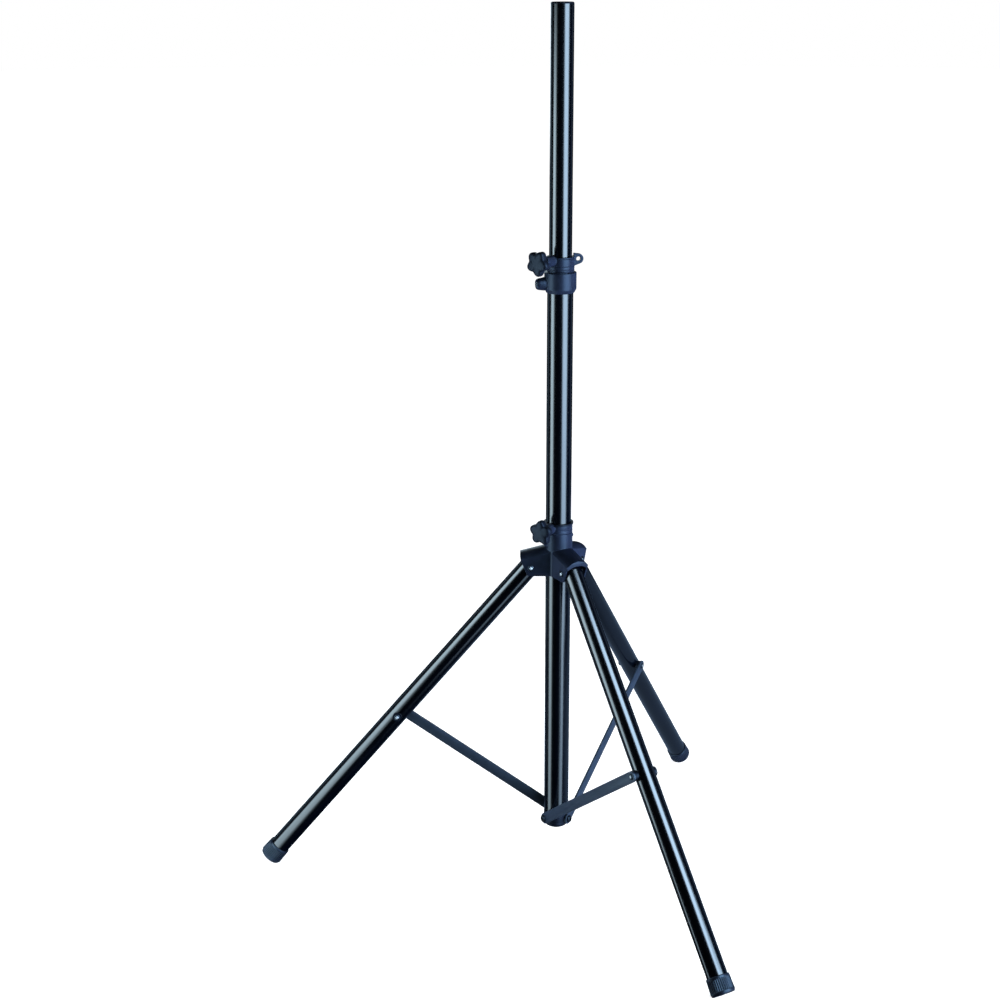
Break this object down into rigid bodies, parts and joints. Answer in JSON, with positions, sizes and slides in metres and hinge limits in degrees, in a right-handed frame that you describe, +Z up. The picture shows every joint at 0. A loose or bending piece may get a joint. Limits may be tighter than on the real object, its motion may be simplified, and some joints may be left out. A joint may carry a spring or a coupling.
{
  "type": "tripod loudspeaker stand",
  "caption": "Folding tripod floor stand for a loudspeaker: telescoping pole with a clamp knob, sliding yoke, splayed tube legs and flat braces.",
  "frame": {"origin": "on the floor, on the mast axis", "axes": "+Z up along the mast axis; -Y along the front leg; the other two legs at 120 degrees to it"},
  "size_m": [0.8582, 0.7484, 1.391],
  "materials": {
    "tube_black": "gloss black enamel",
    "brace_blue": "satin blue-grey coating",
    "plastic_navy": "satin moulded dark navy-grey",
    "plastic_black": "matt black moulding",
    "rivet_steel": "bright zinc",
    "bolt_black": "black oxide",
    "foot_rubber": "dark rubber"
  },
  "bodies": {
    "mast": {"lower_tube": "tube_black", "hub": "plastic_black", "hub_bolts": "bolt_black", "clamp_body": "plastic_navy", "clamp_bush": "plastic_black", "clamp_set_screw": "rivet_steel"},
    "pole": {"upper_pole": "tube_black", "pole_cap": "plastic_black", "pole_guide": "plastic_black"},
    "clamp_pad": {"clamp_pad": "plastic_black"},
    "clamp_knob": {"clamp_knob": "plastic_navy", "clamp_stud": "rivet_steel"},
    "yoke": {"yoke_body": "plastic_navy", "yoke_bush": "plastic_black", "leg_rivet_front": "rivet_steel", "leg_rivet_right": "rivet_steel", "leg_rivet_left": "rivet_steel"},
    "yoke_pad": {"yoke_pad": "plastic_black"},
    "yoke_knob": {"yoke_knob": "plastic_navy", "yoke_stud": "rivet_steel"},
    "leg_front": {"leg_tube_front": "tube_black", "leg_plug_front": "plastic_black", "foot_front": "foot_rubber", "brace_rivet_front": "rivet_steel", "brace_saddles_front": "plastic_black"},
    "brace_front": {"brace_front": "brace_blue", "brace_rivet_head_front": "rivet_steel"},
    "leg_right": {"leg_tube_right": "tube_black", "leg_plug_right": "plastic_black", "foot_right": "foot_rubber", "brace_rivet_right": "rivet_steel", "brace_saddles_right": "plastic_black"},
    "brace_right": {"brace_right": "brace_blue", "brace_rivet_head_right": "rivet_steel"},
    "leg_left": {"leg_tube_left": "tube_black", "leg_plug_left": "plastic_black", "foot_left": "foot_rubber", "brace_rivet_left": "rivet_steel", "brace_saddles_left": "plastic_black"},
    "brace_left": {"brace_left": "brace_blue", "brace_rivet_head_left": "rivet_steel"}
  },
  "joints": [
    {"name": "pole_slide", "type": "slide", "parent": "mast", "child": "pole", "axis": [0, 0, 1], "range_m": [-0.3, 0.4]},
    {"name": "yoke_slide", "type": "slide", "parent": "mast", "child": "yoke", "axis": [0, 0, 1], "range_m": [0, 0.21073]},
    {"name": "clamp_pad_travel", "type": "slide", "parent": "mast", "child": "clamp_pad", "axis": [-0.9397, -0.342, 0], "range_m": [0, 0.0025]},
    {"name": "clamp_knob_turn", "type": "hinge", "parent": "clamp_pad", "child": "clamp_knob", "pos_m": [-0.03759, -0.01368, 1.015], "axis": [-0.9397, -0.342, 0], "range_deg": [0, 722]},
    {"name": "yoke_pad_travel", "type": "slide", "parent": "yoke", "child": "yoke_pad", "axis": [-0.9063, -0.4226, 0], "range_m": [0, 0.0025]},
    {"name": "yoke_knob_turn", "type": "hinge", "parent": "yoke_pad", "child": "yoke_knob", "pos_m": [-0.03625, -0.0169, 0.5934], "axis": [-0.9063, -0.4226, 0], "range_deg": [0, 722]},
    {"name": "leg_front_swing", "type": "hinge", "parent": "yoke", "child": "leg_front", "pos_m": [0, -0.0432, 0.528], "axis": [1, 0, 0], "range_deg": [0, 40.2]},
    {"name": "brace_front_swing", "type": "hinge", "parent": "mast", "child": "brace_front", "pos_m": [0, 0, 0.089], "axis": [-1, 0, 0], "range_deg": [0, 47.2]},
    {"name": "leg_right_swing", "type": "hinge", "parent": "yoke", "child": "leg_right", "pos_m": [0.03741, 0.0216, 0.528], "axis": [-0.5, 0.866, 0], "range_deg": [0, 40.2]},
    {"name": "brace_right_swing", "type": "hinge", "parent": "mast", "child": "brace_right", "pos_m": [0, 0, 0.089], "axis": [0.5, -0.866, 0], "range_deg": [0, 47.2]},
    {"name": "leg_left_swing", "type": "hinge", "parent": "yoke", "child": "leg_left", "pos_m": [-0.03741, 0.0216, 0.528], "axis": [-0.5, -0.866, 0], "range_deg": [0, 40.2]},
    {"name": "brace_left_swing", "type": "hinge", "parent": "mast", "child": "brace_left", "pos_m": [0, 0, 0.089], "axis": [0.5, 0.866, 0], "range_deg": [0, 47.2]}
  ],
  "couplings": [
    {"joint": "clamp_knob_turn", "follows": "clamp_pad_travel", "rad_per_m": 5026.5},
    {"joint": "yoke_knob_turn", "follows": "yoke_pad_travel", "rad_per_m": 5026.5},
    {"joint": "leg_front_swing", "follows": "yoke_slide", "rad_per_m": 3.3207},
    {"joint": "brace_front_swing", "follows": "yoke_slide", "rad_per_m": 3.8996},
    {"joint": "leg_right_swing", "follows": "yoke_slide", "rad_per_m": 3.3207},
    {"joint": "brace_right_swing", "follows": "yoke_slide", "rad_per_m": 3.8996},
    {"joint": "leg_left_swing", "follows": "yoke_slide", "rad_per_m": 3.3207},
    {"joint": "brace_left_swing", "follows": "yoke_slide", "rad_per_m": 3.8996}
  ]
}
